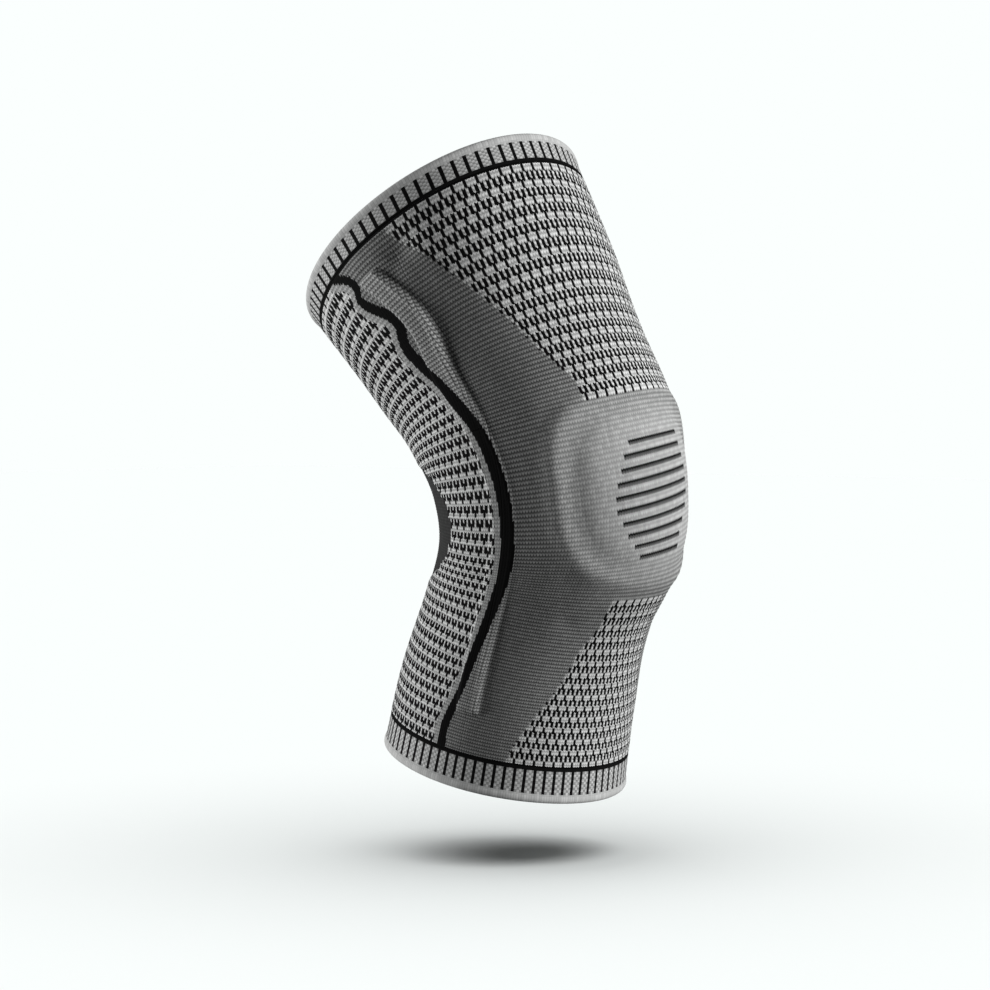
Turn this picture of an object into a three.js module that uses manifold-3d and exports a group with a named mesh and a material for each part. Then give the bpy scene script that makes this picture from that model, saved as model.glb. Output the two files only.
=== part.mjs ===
// Compression knee brace: one knitted tube bent at the knee, a doubled cuff at each
// end, a thin smooth panel let in behind the knee, a soft ring round the kneecap and a
// flat sprung stay up each side. Millimetres and degrees, +Z up, kneecap facing -Y.
// The origin is the middle of the leg at the knee.
import * as THREE from "three";
import { mergeVertices } from "three/addons/utils/BufferGeometryUtils.js";
import Module from "manifold-3d";

const wasm = await Module();
wasm.setup();

// The leg that the knit is drawn over
const SLEEVE_LENGTH = 297; // rim to rim along the centre line of the leg
const KNEE_DROP = 135; // from the thigh rim down the centre line to the knee
const THIGH_RADIUS = 79;
const KNEE_RADIUS = 62;
const CALF_RADIUS = 61;
const THIGH_LEAN = 38; // the thigh leans back from the knee
const SHIN_LEAN = 14; // and so does the shin, going down
const BEND_SPAN = 119; // stretch of the centre line that bends
const FAN_SPAN = 208; // stretch over which the knitted rows fan out

// The cloth
const KNIT_WALL = 2.2;
const CUFF_WALL = 3.2; // two layers
const THIGH_CUFF_HEIGHT = 15.3;
const CALF_CUFF_HEIGHT = 17.7;
const CUFF_FOLD_HEIGHT = 4.5; // the rounded fold at the rim
const CUFF_FOLD_SWELL = 0.5; // how far the fold stands proud of the cuff
const GAP = 0.3; // left between pieces that touch

// The ring round the kneecap, and the dome of the kneecap inside it
const RING_HALF_ANGLE = 52; // round the leg, from the front
const RING_HALF_HEIGHT = 36; // along the centre line
const RING_DROP = 155; // of its middle, from the thigh rim
const RING_WIDTH = 9;
const RING_RISE = 2.6;
const RING_SQUARENESS = 3.0; // 2 is an ellipse
const RING_END_RISE = 0.5; // share of the rise left at its top and foot
const RING_THICKNESS = 3.4; // of the soft pad behind the raised knit
const RING_SLACK = 1.7; // the pad's crown lies this far below the ridge of the knit
const RIDGE_SPREAD = 0.55 * RING_WIDTH;
const MOAT_DEPTH = 1.1; // the sunk line just inside the ring
const MOAT_INSET = 1.05 * RING_WIDTH; // from the crest of the ring
const MOAT_SPREAD = 0.6 * RING_WIDTH;
const DOME_RISE = 2.2;
const DOME_INSET = 1.3 * RING_WIDTH;

// The stays
const STAY_WIDTH = 8;
const STAY_THICKNESS = 1.1;
const STAY_SLACK = 0.75; // between the stay and the knit outside it
const STAY_END_SHARE = 0.6; // width left at its rounded ends
const CHANNEL_WIDTH = 15;
const CHANNEL_RISE = 2.2;
const CHANNEL_EDGE = 3.4; // how wide its sloping edges are
const PIPING_RISE = 0.9; // the fine ridge along its front edge
const PIPING_WIDTH = 1.7;

// The panel behind the knee
const PANEL_HALF_ANGLE = 72; // round the leg, from the back
const PANEL_HALF_HEIGHT = 50; // along the centre line
const PANEL_DROP = 165; // of its middle, from the thigh rim
const PANEL_WALL = 1.4;
const PANEL_SINK = 0.6; // how far its face lies below the knit
const PANEL_SEAM = 0.6; // the opening is this much larger than the panel

// How finely the surfaces are cut
const LANES = [13, 1, 2, 1, 10]; // columns: front, channel's slope, flat, slope, back
const CENTRE_STEPS = 396;
const OUTER_STEPS = { plain: 10, knee: 4.3 }; // mm down the centre line
const INNER_STEPS = { plain: 12, knee: 5.6 };
const RING_STOPS = 44;
const STAY_STOPS = 26;
const PANEL_TURNS = 36;
const PANEL_RINGS = [0.28, 0.52, 0.74, 0.9, 1]; // shares of the way from middle to edge

const YARN_GREY = 0xb2b3b3;
const YARN_DARK = 0x262828;
const GEL_CLEAR = 0xd9dcd8;
const SPRING_STEEL = 0x8c9094;

// Half sizes of the leg, as shares of the radius that each row follows. at is the share
// of the sleeve's length below the thigh rim.
const SECTIONS = [
  { at: 0.0, follows: THIGH_RADIUS, front: 1.02, back: 1.0, side: 0.98 },
  { at: 0.16, follows: THIGH_RADIUS, front: 0.886, back: 0.9, side: 0.975 },
  { at: 0.32, follows: KNEE_RADIUS, front: 0.96, back: 1.135, side: 1.12 },
  { at: 0.43, follows: KNEE_RADIUS, front: 0.992, back: 1.07, side: 1.105 },
  { at: 0.52, follows: KNEE_RADIUS, front: 1.048, back: 0.96, side: 1.04 },
  { at: 0.61, follows: KNEE_RADIUS, front: 1.089, back: 0.863, side: 0.976 },
  { at: 0.72, follows: CALF_RADIUS, front: 0.902, back: 0.951, side: 0.943 },
  { at: 0.86, follows: CALF_RADIUS, front: 0.861, back: 1.041, side: 1.016 },
  { at: 1.0, follows: CALF_RADIUS, front: 0.934, back: 1.066, side: 1.041 },
];

// Where a stay runs, and how high its channel stands, as a share of the full rise.
// angle is measured round the leg from the front.
const STAY_ROUTE = [
  { at: 0.105, angle: 89, rise: 1.0 },
  { at: 0.16, angle: 84.5, rise: 1.0 },
  { at: 0.22, angle: 81.5, rise: 1.0 },
  { at: 0.32, angle: 85.5, rise: 0.9 },
  { at: 0.42, angle: 81, rise: 0.45 },
  { at: 0.54, angle: 76, rise: 0.25 },
  { at: 0.66, angle: 76, rise: 0.3 },
  { at: 0.74, angle: 77.5, rise: 0.55 },
  { at: 0.87, angle: 75.5, rise: 0.6 },
];

// Soft dents of the worn cloth. across is a share of the knee's radius, along of the
// sleeve's length, depth of the knit's wall. A negative depth stands proud.
const DENTS = [
  { at: 0.105, angle: 74, across: 0.145, along: 0.027, depth: 0.6 },
  { at: 0.075, angle: 91, across: 0.16, along: 0.02, depth: -0.36 },
  { at: 0.175, angle: 69, across: 0.1, along: 0.088, depth: 0.4 },
  { at: 0.745, angle: 107, across: 0.21, along: 0.03, depth: 0.64 },
  { at: 0.655, angle: 44, across: 0.113, along: 0.017, depth: 0.41 },
  { at: 0.7, angle: 37, across: 0.097, along: 0.0135, depth: 0.36 },
  { at: 0.45, angle: 60, across: 0.08, along: 0.06, depth: 0.27 },
];

// The rim's fold in section, from the cuff's inner face over the rim to its outer face.
// down is a share of the fold's height, into of the cuff's wall, swell of its swell.
const FOLD = [
  { down: 1, into: 1, swell: 0 },
  { down: 0.18, into: 0.93, swell: 0 },
  { down: 0.04, into: 0.7, swell: 0 },
  { down: 0, into: 0.4, swell: 0 },
  { down: 0.07, into: 0.1, swell: 0 },
  { down: 0.28, into: 0, swell: 0.8 },
  { down: 0.6, into: 0, swell: 1 },
  { down: 1, into: 0, swell: 0.2 },
  { down: 1.4, into: 0, swell: 0 },
];

// The soft ring's pad in section. across is a share of its half width, below of its
// thickness. The crown follows the ridge of the knit, and the back lies against the knee.
const PAD = [
  { across: -0.85, below: 0.15, crown: true },
  { across: -0.35, below: 0.03, crown: true },
  { across: 0.35, below: 0.03, crown: true },
  { across: 0.85, below: 0.15, crown: true },
  { across: 0.7, below: 0, crown: false },
  { across: -0.7, below: 0, crown: false },
];

const radians = THREE.MathUtils.degToRad;
const ease = (x) => THREE.MathUtils.smoothstep(x, 0, 1);
const hill = (x) => Math.exp(-x * x);
const share = (mm) => mm / SLEEVE_LENGTH;

// A smooth curve through one column of a table.
function readTable(rows, value, at) {
  const last = rows.length - 1;
  const x = THREE.MathUtils.clamp(at, rows[0].at, rows[last].at);
  let i = 0;
  while (i < last - 1 && x > rows[i + 1].at) i += 1;
  const gap = (k) => rows[k + 1].at - rows[k].at;
  const slope = (k) => (value(rows[k + 1]) - value(rows[k])) / gap(k);
  const tangent = (k) => {
    if (k === 0) return slope(0);
    if (k === last) return slope(last - 1);
    return (slope(k - 1) * gap(k) + slope(k) * gap(k - 1)) / (gap(k) + gap(k - 1));
  };
  const h = gap(i);
  const t = (x - rows[i].at) / h;
  const t2 = t * t;
  const t3 = t2 * t;
  return (
    (2 * t3 - 3 * t2 + 1) * value(rows[i]) +
    (t3 - 2 * t2 + t) * h * tangent(i) +
    (3 * t2 - 2 * t3) * value(rows[i + 1]) +
    (t3 - t2) * h * tangent(i + 1)
  );
}

// How far back the leg leans at a share of its length, turning over a given span.
function leanAt(at, span) {
  const turned = ease((at - share(KNEE_DROP)) / share(span) + 0.5);
  return radians(THREE.MathUtils.lerp(THIGH_LEAN, -SHIN_LEAN, turned));
}

// The centre line of the leg, stepped down from the thigh rim and moved so that the
// knee lies at the origin.
function centreLine() {
  const step = SLEEVE_LENGTH / CENTRE_STEPS;
  const points = [new THREE.Vector3()];
  for (let i = 0; i < CENTRE_STEPS; i += 1) {
    const lean = leanAt((i + 0.5) / CENTRE_STEPS, BEND_SPAN);
    const down = new THREE.Vector3(0, -Math.sin(lean), -Math.cos(lean));
    points.push(points[i].clone().addScaledVector(down, step));
  }
  const knee = pointOn(points, share(KNEE_DROP));
  return points.map((p) => p.sub(knee));
}

function pointOn(points, at) {
  const x = THREE.MathUtils.clamp(at, 0, 1) * (points.length - 1);
  const i = Math.min(Math.floor(x), points.length - 2);
  return points[i].clone().lerp(points[i + 1], x - i);
}

const CENTRE = centreLine();

// The angle from the front, folded so that both sides of the leg read the same.
const fromFront = (angle) => Math.abs(THREE.MathUtils.euclideanModulo(angle + 180, 360) - 180);

// 1 on the ring's crest, 0 at the middle of the kneecap.
function ringReach(at, angle) {
  const across = fromFront(angle) / RING_HALF_ANGLE;
  const along = Math.abs(at - share(RING_DROP)) / share(RING_HALF_HEIGHT);
  return (across ** RING_SQUARENESS + along ** RING_SQUARENESS) ** (1 / RING_SQUARENESS);
}

const ringRadius = radians(RING_HALF_ANGLE) * KNEE_RADIUS;

function ringRelief(at, angle) {
  const reach = ringReach(at, angle);
  const inside = (1 - reach) * ringRadius;
  const sideness = ease(fromFront(angle) / RING_HALF_ANGLE / Math.max(reach, 0.1));
  const strength = THREE.MathUtils.lerp(RING_END_RISE, 1, sideness);
  const ridge = RING_RISE * hill(inside / RIDGE_SPREAD);
  const moat = MOAT_DEPTH * hill((inside - MOAT_INSET) / MOAT_SPREAD);
  const dome = 1 - (reach / (1 - DOME_INSET / ringRadius)) ** 2;
  return strength * (ridge - moat) + DOME_RISE * Math.max(dome, 0);
}

const sideRadius = (at) => readTable(SECTIONS, (row) => row.follows * row.side, at);

const STAY_TOP = STAY_ROUTE[0].at;
const STAY_FOOT = STAY_ROUTE[STAY_ROUTE.length - 1].at;
const stayAngle = (at) => readTable(STAY_ROUTE, (row) => row.angle, at);

function channelRelief(at, angle) {
  const off = radians(fromFront(angle) - stayAngle(at)) * sideRadius(at);
  const half = CHANNEL_WIDTH / 2;
  const top = ease((half - Math.abs(off)) / CHANNEL_EDGE);
  const piping = PIPING_RISE * hill((off + half - CHANNEL_EDGE / 2) / PIPING_WIDTH);
  const ends =
    ease((at - STAY_TOP) / share(CHANNEL_EDGE) + 0.5) *
    ease((STAY_FOOT - at) / share(CHANNEL_EDGE) + 0.5);
  return readTable(STAY_ROUTE, (row) => row.rise, at) * ends * (CHANNEL_RISE * top + piping);
}

function dentRelief(at, angle) {
  const radius = sideRadius(at);
  let relief = 0;
  for (const dent of DENTS) {
    const round = radians(fromFront(angle) - dent.angle) * radius;
    const across = round / (dent.across * KNEE_RADIUS);
    const along = (at - dent.at) / dent.along;
    relief -= dent.depth * KNIT_WALL * hill(Math.hypot(across, along));
  }
  return relief;
}

const reliefAt = (at, angle) =>
  ringRelief(at, angle) + channelRelief(at, angle) + dentRelief(at, angle);

// A point of the knit: angle goes round from the front towards the leg's right side,
// inset is how far inside the outer face it lies, relief how far that face is raised.
function skin(at, angle, inset, relief = reliefAt(at, angle)) {
  const a = radians(angle);
  const lean = leanAt(at, FAN_SPAN);
  const frontness = 0.5 + 0.5 * Math.sin((Math.cos(a) * Math.PI) / 2);
  const size = (name) => readTable(SECTIONS, (row) => row.follows * row[name], at);
  const depth = THREE.MathUtils.lerp(size("back"), size("front"), frontness);
  const ahead = (depth + relief - inset) * Math.cos(a);
  return pointOn(CENTRE, at).add(
    new THREE.Vector3(
      -(size("side") + relief - inset) * Math.sin(a),
      -ahead * Math.cos(lean),
      ahead * Math.sin(lean),
    ),
  );
}

function geometryOf(points, triangles) {
  const geometry = new THREE.BufferGeometry();
  const flat = points.flatMap((p) => [p.x, p.y, p.z]);
  geometry.setAttribute("position", new THREE.Float32BufferAttribute(flat, 3));
  geometry.setIndex(triangles.flat());
  return geometry;
}

// Two triangles for each cell of a grid of points, closed both ways.
function wrapGrid(rows) {
  const height = rows.length;
  const width = rows[0].length;
  const triangles = [];
  for (let i = 0; i < height; i += 1) {
    for (let j = 0; j < width; j += 1) {
      const a = i * width + j;
      const b = i * width + ((j + 1) % width);
      const c = ((i + 1) % height) * width + j;
      const d = ((i + 1) % height) * width + ((j + 1) % width);
      triangles.push([a, b, d], [a, d, c]);
    }
  }
  return geometryOf(rows.flat(), triangles);
}

// The columns of a hoop, from the front round the right side and back along the left.
// They keep to the channels, so that each channel has its own lanes all the way down.
function columnAngles(at) {
  const radius = sideRadius(at);
  const channel = THREE.MathUtils.radToDeg(CHANNEL_WIDTH / 2 / radius);
  const flat = THREE.MathUtils.radToDeg((CHANNEL_WIDTH / 2 - CHANNEL_EDGE) / radius);
  const middle = stayAngle(at);
  const marks = [0, middle - channel, middle - flat, middle + flat, middle + channel, 180];
  const half = [];
  LANES.forEach((columns, lane) => {
    for (let i = 0; i < columns; i += 1) {
      half.push(THREE.MathUtils.lerp(marks[lane], marks[lane + 1], i / columns));
    }
  });
  const other = half.slice(1).map((angle) => -angle);
  return [...half, 180, ...other.reverse()];
}

// A ring of cloth swept round the leg: stops go down its outer face and up its inner
// one, each with at and inset.
function hoop(stops) {
  return wrapGrid(
    stops.map((stop) => columnAngles(stop.at).map((angle) => skin(stop.at, angle, stop.inset))),
  );
}

// Shares of the length from one end to the other, closer together over the kneecap.
function stepsDown(from, to, steps) {
  const kneeTop = share(RING_DROP - RING_HALF_HEIGHT - RING_WIDTH);
  const kneeFoot = share(RING_DROP + RING_HALF_HEIGHT + RING_WIDTH);
  const marks = [
    { end: kneeTop, step: steps.plain },
    { end: kneeFoot, step: steps.knee },
    { end: to, step: steps.plain },
  ];
  const stops = [from];
  for (const mark of marks) {
    const start = stops[stops.length - 1];
    const count = Math.max(1, Math.round((mark.end - start) / share(mark.step)));
    for (let i = 1; i <= count; i += 1) {
      stops.push(THREE.MathUtils.lerp(start, mark.end, i / count));
    }
  }
  return stops;
}

// A patch of cloth behind the knee: an oval of the leg's surface, given a thickness.
function backPatch(grow, outerInset, innerInset) {
  const turns = PANEL_TURNS;
  const halfHeight = share(PANEL_HALF_HEIGHT + grow);
  const halfAngle = PANEL_HALF_ANGLE + THREE.MathUtils.radToDeg(grow / KNEE_RADIUS);
  const spot = (r, t, inset) => {
    const turn = (t / turns) * 2 * Math.PI;
    const at = share(PANEL_DROP) + r * halfHeight * Math.sin(turn);
    return skin(at, 180 + r * halfAngle * Math.cos(turn), inset);
  };
  const face = (inset) =>
    PANEL_RINGS.map((r) => Array.from({ length: turns }, (_, t) => spot(r, t, inset)));
  const outer = face(outerInset);
  const inner = face(innerInset).reverse();
  const centres = [outerInset, innerInset].map((inset) => skin(share(PANEL_DROP), 180, inset));
  const rows = [...outer, ...inner];
  const points = [...rows.flat(), ...centres];
  const triangles = [];
  for (let t = 0; t < turns; t += 1) {
    const next = (t + 1) % turns;
    const lastRow = (rows.length - 1) * turns;
    triangles.push([points.length - 2, t, next]);
    triangles.push([points.length - 1, lastRow + next, lastRow + t]);
    for (let i = 0; i < rows.length - 1; i += 1) {
      const a = i * turns;
      const b = (i + 1) * turns;
      triangles.push([a + t, b + next, a + next], [a + t, b + t, b + next]);
    }
  }
  return geometryOf(points, triangles);
}

function solidOf(geometry) {
  const merged = mergeVertices(geometry, 1e-4);
  return new wasm.Manifold(
    new wasm.Mesh({
      numProp: 3,
      vertProperties: merged.getAttribute("position").array,
      triVerts: new Uint32Array(merged.index.array),
    }),
  );
}

function geometryFrom(solid) {
  const mesh = solid.getMesh();
  const geometry = new THREE.BufferGeometry();
  geometry.setAttribute("position", new THREE.BufferAttribute(mesh.vertProperties, 3));
  geometry.setIndex(new THREE.BufferAttribute(mesh.triVerts, 1));
  return geometry;
}

function sleeveGeometry() {
  const from = share(THIGH_CUFF_HEIGHT);
  const to = 1 - share(CALF_CUFF_HEIGHT);
  const outer = stepsDown(from, to, OUTER_STEPS).map((at) => ({ at, inset: 0 }));
  const inner = stepsDown(from, to, INNER_STEPS).map((at) => ({ at, inset: KNIT_WALL }));
  const tube = solidOf(hoop([...outer, ...inner.reverse()]));
  const hole = solidOf(backPatch(PANEL_SEAM, -KNIT_WALL / 2, 1.5 * KNIT_WALL));
  return geometryFrom(tube.subtract(hole));
}

// A cuff runs from the rim (at 0 or 1) towards the knee.
function cuffGeometry(rim, inward, height) {
  const down = (mm) => rim + inward * share(mm);
  const body = height - GAP;
  const stops = [
    { at: down(body), inset: CUFF_WALL },
    ...FOLD.map((row) => ({
      at: down(row.down * CUFF_FOLD_HEIGHT),
      inset: row.into * CUFF_WALL - row.swell * CUFF_FOLD_SWELL,
    })),
    { at: down(body), inset: 0 },
  ];
  return hoop(inward > 0 ? stops : stops.reverse());
}

// The pad follows the raised line of the knit from inside.
function ringGeometry() {
  const seat = KNIT_WALL + RING_SLACK;
  const back = seat + RING_THICKNESS - RING_RISE;
  const unit = (x) => Math.sign(x) * Math.abs(x) ** (2 / RING_SQUARENESS);
  const rows = Array.from({ length: RING_STOPS }, (_, i) => {
    const turn = (i / RING_STOPS) * 2 * Math.PI;
    return PAD.map((corner) => {
      const reach = 1 + (corner.across * RING_WIDTH) / 2 / ringRadius;
      const at = share(RING_DROP) + reach * share(RING_HALF_HEIGHT) * unit(Math.sin(turn));
      const angle = reach * RING_HALF_ANGLE * unit(Math.cos(turn));
      if (corner.crown) return skin(at, angle, seat + corner.below * RING_THICKNESS);
      return skin(at, angle, back, 0);
    });
  });
  return wrapGrid(rows);
}

// A stay is a thin strip with rounded ends, lying in the hollow behind its channel.
function stayGeometry(side) {
  const ends = share(CHANNEL_EDGE + STAY_WIDTH / 4);
  const seat = KNIT_WALL + STAY_SLACK;
  const rows = Array.from({ length: STAY_STOPS + 1 }, (_, i) => {
    const t = i / STAY_STOPS;
    const at = THREE.MathUtils.lerp(STAY_TOP + ends, STAY_FOOT - ends, t);
    const atEnd = i === 0 || i === STAY_STOPS;
    const half = (STAY_WIDTH / 2) * (atEnd ? STAY_END_SHARE : 1);
    const swing = THREE.MathUtils.radToDeg(half / sideRadius(at));
    const relief = reliefAt(at, side * stayAngle(at));
    const corners = [
      { turn: -swing, inset: seat },
      { turn: 0, inset: seat },
      { turn: swing, inset: seat },
      { turn: swing, inset: seat + STAY_THICKNESS },
      { turn: 0, inset: seat + STAY_THICKNESS },
      { turn: -swing, inset: seat + STAY_THICKNESS },
    ];
    return corners.map((c) => {
      const angle = side * (stayAngle(at) + c.turn);
      return skin(at, angle, c.inset, Math.min(relief, reliefAt(at, angle)));
    });
  });
  return strip(rows, side);
}

// A closed strip from rows of section points, capped at both ends.
function strip(rows, side) {
  const width = rows[0].length;
  const triangles = [];
  for (let i = 0; i < rows.length - 1; i += 1) {
    for (let j = 0; j < width; j += 1) {
      const a = i * width + j;
      const b = i * width + ((j + 1) % width);
      triangles.push([a, b + width, b], [a, a + width, b + width]);
    }
  }
  const foot = (rows.length - 1) * width;
  for (let j = 1; j < width - 1; j += 1) {
    triangles.push([0, j, j + 1], [foot, foot + j + 1, foot + j]);
  }
  if (side > 0) triangles.forEach((t) => t.reverse());
  return geometryOf(rows.flat(), triangles);
}

const knit = new THREE.MeshStandardMaterial({ color: YARN_GREY, roughness: 0.9, metalness: 0 });
const darkKnit = new THREE.MeshStandardMaterial({ color: YARN_DARK, roughness: 0.85, metalness: 0 });
const gel = new THREE.MeshStandardMaterial({ color: GEL_CLEAR, roughness: 0.4, metalness: 0 });
const steel = new THREE.MeshStandardMaterial({ color: SPRING_STEEL, roughness: 0.35, metalness: 1 });

function piece(name, geometry, material) {
  const mesh = new THREE.Mesh(geometry, material);
  mesh.name = name;
  return mesh;
}

const brace = new THREE.Group();
brace.add(
  piece("sleeve", sleeveGeometry(), knit),
  piece("thigh_cuff", cuffGeometry(0, 1, THIGH_CUFF_HEIGHT), knit),
  piece("calf_cuff", cuffGeometry(1, -1, CALF_CUFF_HEIGHT), knit),
  piece("popliteal_panel", backPatch(0, PANEL_SINK, PANEL_SINK + PANEL_WALL), darkKnit),
  piece("patella_gel_ring", ringGeometry(), gel),
  piece("side_stay_right", stayGeometry(1), steel),
  piece("side_stay_left", stayGeometry(-1), steel),
);

export default brace;
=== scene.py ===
import math

import bpy
import numpy as np
from mathutils import Matrix, Vector


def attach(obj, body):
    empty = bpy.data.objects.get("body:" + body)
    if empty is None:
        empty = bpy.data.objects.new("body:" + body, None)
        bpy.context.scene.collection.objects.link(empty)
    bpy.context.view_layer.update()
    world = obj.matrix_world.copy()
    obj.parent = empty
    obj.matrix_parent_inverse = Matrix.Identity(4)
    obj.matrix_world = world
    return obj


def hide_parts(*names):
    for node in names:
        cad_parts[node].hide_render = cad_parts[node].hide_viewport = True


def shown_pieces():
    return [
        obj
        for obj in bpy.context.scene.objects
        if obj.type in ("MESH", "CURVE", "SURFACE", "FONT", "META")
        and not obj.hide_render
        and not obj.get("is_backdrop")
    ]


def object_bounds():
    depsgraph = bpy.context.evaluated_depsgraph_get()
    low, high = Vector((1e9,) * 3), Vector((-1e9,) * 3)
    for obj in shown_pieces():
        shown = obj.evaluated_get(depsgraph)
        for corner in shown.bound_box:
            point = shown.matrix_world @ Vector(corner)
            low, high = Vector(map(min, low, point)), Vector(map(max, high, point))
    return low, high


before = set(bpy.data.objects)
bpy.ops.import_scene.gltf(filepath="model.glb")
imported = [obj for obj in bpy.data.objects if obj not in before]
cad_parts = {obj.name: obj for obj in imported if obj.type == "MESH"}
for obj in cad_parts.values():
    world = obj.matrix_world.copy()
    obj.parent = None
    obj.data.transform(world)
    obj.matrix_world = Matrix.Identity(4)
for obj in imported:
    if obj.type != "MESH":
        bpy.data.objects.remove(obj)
cad_low, cad_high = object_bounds()

# A knitted knee brace, bent as it is worn. The kneecap faces -Y, the wearer's right is -X
# and the origin is the middle of the leg at the knee. Sizes are in millimetres, and the
# meshes that are made from them in metres. "at" is the share of the sleeve's length below
# the thigh rim, and "angle" goes round the leg from the front to the wearer's right.
MM = 0.001

# The camera and what it looks at, from the photograph's perspective
CAMERA_AZIMUTH = -50
CAMERA_RISE = 1.9
CAMERA_DISTANCE = 1520 * MM
CAMERA_LENS = 110.5
AIM_RIGHT = -29.5 * MM
AIM_UP = -20 * MM

# The leg
SLEEVE_LENGTH = 297
KNEE_DROP = 135
THIGH_RADIUS = 79
KNEE_RADIUS = 62
CALF_RADIUS = 61
THIGH_LEAN = 38
SHIN_LEAN = 14
BEND_SPAN = 119
FAN_SPAN = 208
CENTRE_STEPS = 396

# The cloth
KNIT_WALL = 2.2
CUFF_WALL = 3.2
THIGH_CUFF_HEIGHT = 15.3
CALF_CUFF_HEIGHT = 17.7
CUFF_FOLD_HEIGHT = 4.5
CUFF_FOLD_SWELL = 0.5
CUFF_INNER_STEP = 1.6  # from the end of the fold inside to the inner layer's first row
CUFF_COURSE = 0.5
FOLD_COURSE = -31  # the same all over the fold, which has ribs and no rows
FOLD_ROWS = 14
STRIPED_ROWS = 9

# The fold over a cuff's rim, from its end inside to the pinstripes: shares of the fold's
# height, of the wall and of the swell
CUFF_FOLD = (
    (1.00, 1.00, 0.0),
    (0.18, 0.93, 0.0),
    (0.04, 0.70, 0.0),
    (0.00, 0.40, 0.0),
    (0.07, 0.10, 0.0),
    (0.28, 0.00, 0.8),
    (0.60, 0.00, 1.0),
    (1.00, 0.00, 0.2),
    (1.40, 0.00, 0.0),
)

# The ring round the kneecap and the dome inside it
RING_HALF_ANGLE = 52
RING_HALF_HEIGHT = 36
RING_DROP = 155
RING_WIDTH = 9
RING_RISE = 2.0
RING_SQUARENESS = 3.0
RING_END_RISE = 0.25
RIDGE_SPREAD = 0.55 * RING_WIDTH
MOAT_DEPTH = 0.6
MOAT_INSET = 1.05 * RING_WIDTH
MOAT_SPREAD = 0.6 * RING_WIDTH
DOME_RISE = 2.2
DOME_INSET = 1.3 * RING_WIDTH
KNEE_STRETCH_START = 1.35  # where the kneecap begins to stretch the knit, the ring being 1
KNEE_STRETCH_SPAN = 0.85
RING_THICKNESS = 3.4
RING_SEAT = 3.9
RING_STEPS = 180

# Across half the ring's width, below its seat as a share of its thickness, whether crown
RING_PROFILE = (
    (-0.92, 0.24, True),
    (-0.78, 0.10, True),
    (-0.35, 0.03, True),
    (0.00, 0.02, True),
    (0.35, 0.03, True),
    (0.78, 0.10, True),
    (0.92, 0.24, True),
    (0.70, 1.00, False),
    (0.00, 1.03, False),
    (-0.70, 1.00, False),
)

# The channels over the stays
CHANNEL_WIDTH = 15
CHANNEL_RISE = 3.6
CHANNEL_EDGE = 3.4
PIPING_RISE = 1.3
PIPING_WIDTH = 1.7
STAY_BOTTOM = 5.3  # below the channel's skin, with the knit that closes the channel

# The panel behind the knee
PANEL_HALF_ANGLE = 72
PANEL_HALF_HEIGHT = 50
PANEL_DROP = 165
PANEL_WALL = 1.4
PANEL_SINK = 0.6

# The leg's half sizes in mm: at, front, back, side
SECTIONS = (
    (0.00, 1.020 * THIGH_RADIUS, 1.000 * THIGH_RADIUS, 0.980 * THIGH_RADIUS),
    (0.16, 0.886 * THIGH_RADIUS, 0.900 * THIGH_RADIUS, 0.975 * THIGH_RADIUS),
    (0.32, 0.960 * KNEE_RADIUS, 1.135 * KNEE_RADIUS, 1.120 * KNEE_RADIUS),
    (0.43, 0.992 * KNEE_RADIUS, 1.070 * KNEE_RADIUS, 1.105 * KNEE_RADIUS),
    (0.52, 1.048 * KNEE_RADIUS, 0.960 * KNEE_RADIUS, 1.040 * KNEE_RADIUS),
    (0.61, 1.089 * KNEE_RADIUS, 0.863 * KNEE_RADIUS, 0.976 * KNEE_RADIUS),
    (0.72, 0.902 * CALF_RADIUS, 0.951 * CALF_RADIUS, 0.943 * CALF_RADIUS),
    (0.86, 0.861 * CALF_RADIUS, 1.041 * CALF_RADIUS, 1.016 * CALF_RADIUS),
    (1.00, 0.934 * CALF_RADIUS, 1.066 * CALF_RADIUS, 1.041 * CALF_RADIUS),
)
FRONT, BACK, SIDE = 1, 2, 3

# Where a stay runs: at, angle, share of the channel's rise
STAY_ROUTE = (
    (0.105, 89.0, 1.00),
    (0.160, 84.5, 1.00),
    (0.220, 81.5, 1.00),
    (0.320, 85.5, 0.90),
    (0.420, 81.0, 0.45),
    (0.540, 76.0, 0.25),
    (0.660, 76.0, 0.30),
    (0.740, 77.5, 0.55),
    (0.870, 75.5, 0.60),
)
STAY_ANGLE, STAY_RISE = 1, 2

# Dents: at, angle, width round the leg in mm, height as a share of the length, depth in mm
DENTS = (
    (0.105, 74, 9.0, 0.0270, 3.0),
    (0.075, 91, 9.9, 0.0200, -0.79),
    (0.175, 69, 6.2, 0.0880, 0.88),
    (0.745, 107, 13.0, 0.0300, 1.41),
    (0.655, 44, 7.0, 0.0170, 0.90),
    (0.700, 37, 6.0, 0.0135, 0.79),
    (0.450, 60, 5.0, 0.0600, 0.59),
)

# The knit: wales are columns of stitches and courses are rows
WALES = 288
THIGH_COURSES = 102
KNEE_COURSES = 86
SHIN_COURSES = 102
COURSES = THIGH_COURSES + KNEE_COURSES + SHIN_COURSES
KNEE_START = 0.405
KNEE_END = 0.66
STITCH_COLUMNS = 4  # faces across a wale, two for each leg of a stitch
STITCH_COURSES = 2  # courses that one raised stitch takes
STITCH_SLANT = 0.75  # courses from the sides of a stitch down to its middle
STITCH_RISE = 0.42
BLOCK = 2  # wales, and courses, across a face of the inside

# How high a stitch stands, as shares: in the groove beside it, more in its middle and on
# its two legs, and in the groove above it
SIDE_GROOVE = 0.24
STITCH_MIDDLE = 0.34
STITCH_LEGS = 0.42
ROW_GROOVE = 0.2

ROW_TILT = 0.0264  # how far the rows drop towards the right of the knee, a share

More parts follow.
